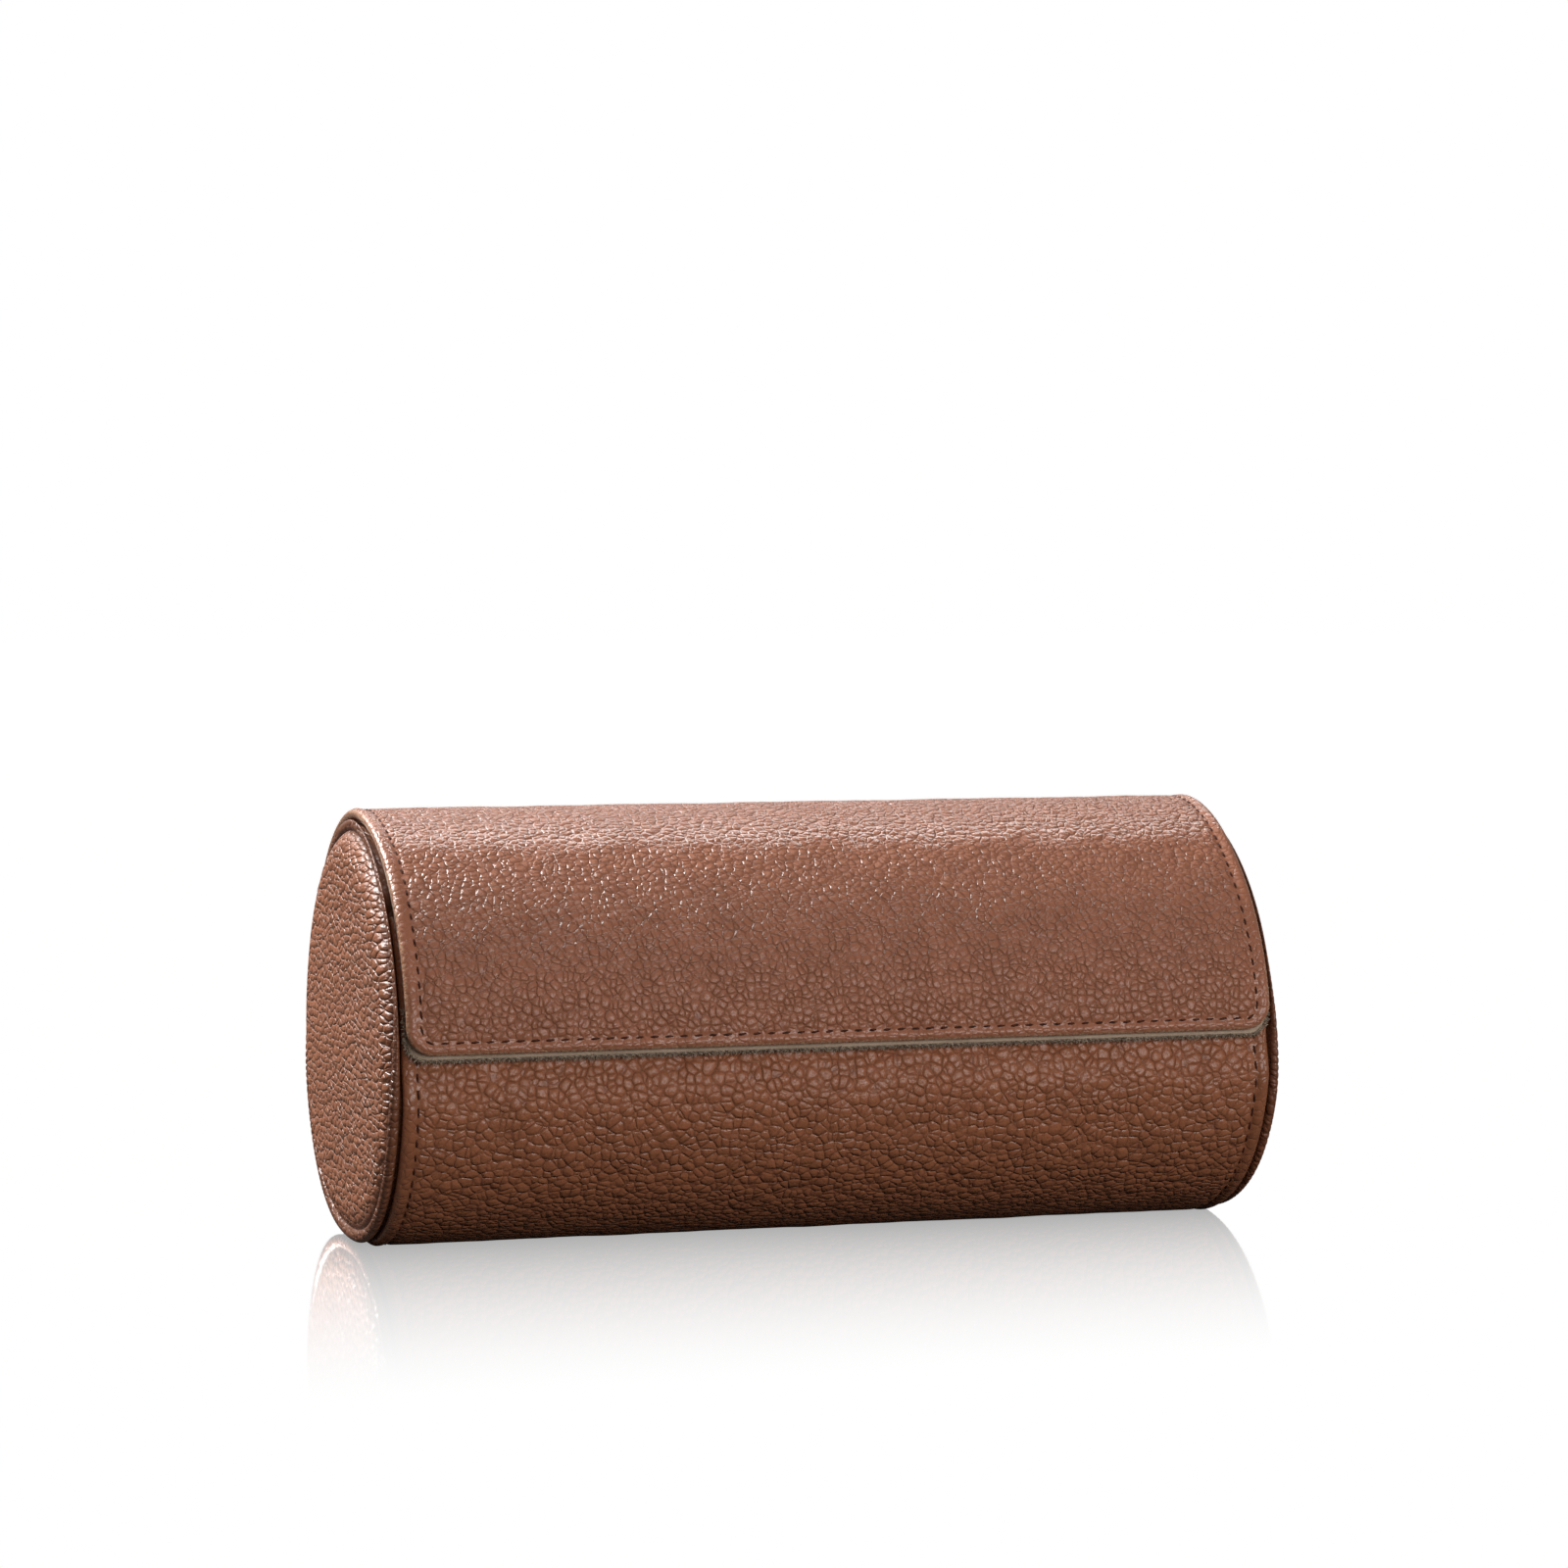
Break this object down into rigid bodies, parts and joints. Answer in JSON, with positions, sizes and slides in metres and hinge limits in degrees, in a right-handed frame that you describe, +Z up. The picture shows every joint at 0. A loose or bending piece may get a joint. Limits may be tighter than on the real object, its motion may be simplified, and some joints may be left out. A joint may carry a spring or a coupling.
{
  "type": "watch roll",
  "caption": "Oval leather roll lying on its side, with padded end caps and a fold-over flap that covers compartments, each with a removable oval watch pillow.",
  "frame": {"origin": "centre of the overall box in plan, on the flat that the roll stands on", "axes": "+X along the roll to the right-hand end cap, -Y towards the front where the flap's lower edge hangs, +Z up"},
  "size_m": [0.2062, 0.1086, 0.0973],
  "materials": {
    "case_leather": "pebbled mid-brown leather, semi-gloss",
    "flap_leather": "pebbled mid-brown leather, semi-gloss",
    "cap_leather": "pebbled mid-brown leather, semi-gloss",
    "lining": "grey-beige microsuede, matt with a soft nap",
    "pillow_suede": "grey-beige microsuede, matt with a soft nap",
    "board": "raw grey board, matt",
    "foam": "open-cell foam, matt",
    "magnet": "nickel plated, satin"
  },
  "bodies": {
    "case": {"case_leather": "case_leather", "case_board": "board", "case_lining": "lining", "fold_leather": "case_leather", "fold_lining": "lining", "end_leather_left": "cap_leather", "end_leather_right": "cap_leather", "end_pad_left": "foam", "end_pad_right": "foam", "end_board_left": "board", "end_board_right": "board", "end_lining_left": "lining", "end_lining_right": "lining", "divider_board_left": "board", "divider_board_right": "board", "divider_suede_left": "lining", "divider_suede_right": "lining", "case_magnet_left": "magnet", "case_magnet_right": "magnet"},
    "flap": {"flap_leather": "flap_leather", "flap_board": "board", "flap_lining": "lining", "flap_magnet_left": "magnet", "flap_magnet_right": "magnet"},
    "pillow_left": {"pillow_cover_left": "pillow_suede", "pillow_foam_left": "foam"},
    "pillow_centre": {"pillow_cover_centre": "pillow_suede", "pillow_foam_centre": "foam"},
    "pillow_right": {"pillow_cover_right": "pillow_suede", "pillow_foam_right": "foam"}
  },
  "joints": [
    {"name": "flap_hinge", "type": "hinge", "parent": "case", "child": "flap", "pos_m": [0, 0.04097, 0.07892], "axis": [-1, 0, 0], "range_deg": [0, 140]},
    {"name": "pillow_left_lift", "type": "slide", "parent": "case", "child": "pillow_left", "axis": [0, 0, 1], "range_m": [0, 0.092]},
    {"name": "pillow_centre_lift", "type": "slide", "parent": "case", "child": "pillow_centre", "axis": [0, 0, 1], "range_m": [0, 0.092]},
    {"name": "pillow_right_lift", "type": "slide", "parent": "case", "child": "pillow_right", "axis": [0, 0, 1], "range_m": [0, 0.092]}
  ],
  "couplings": [
    {"joint": "pillow_left_lift", "follows": "flap_hinge", "m_per_rad": 0.0375},
    {"joint": "pillow_centre_lift", "follows": "flap_hinge", "m_per_rad": 0.0375},
    {"joint": "pillow_right_lift", "follows": "flap_hinge", "m_per_rad": 0.0375}
  ]
}
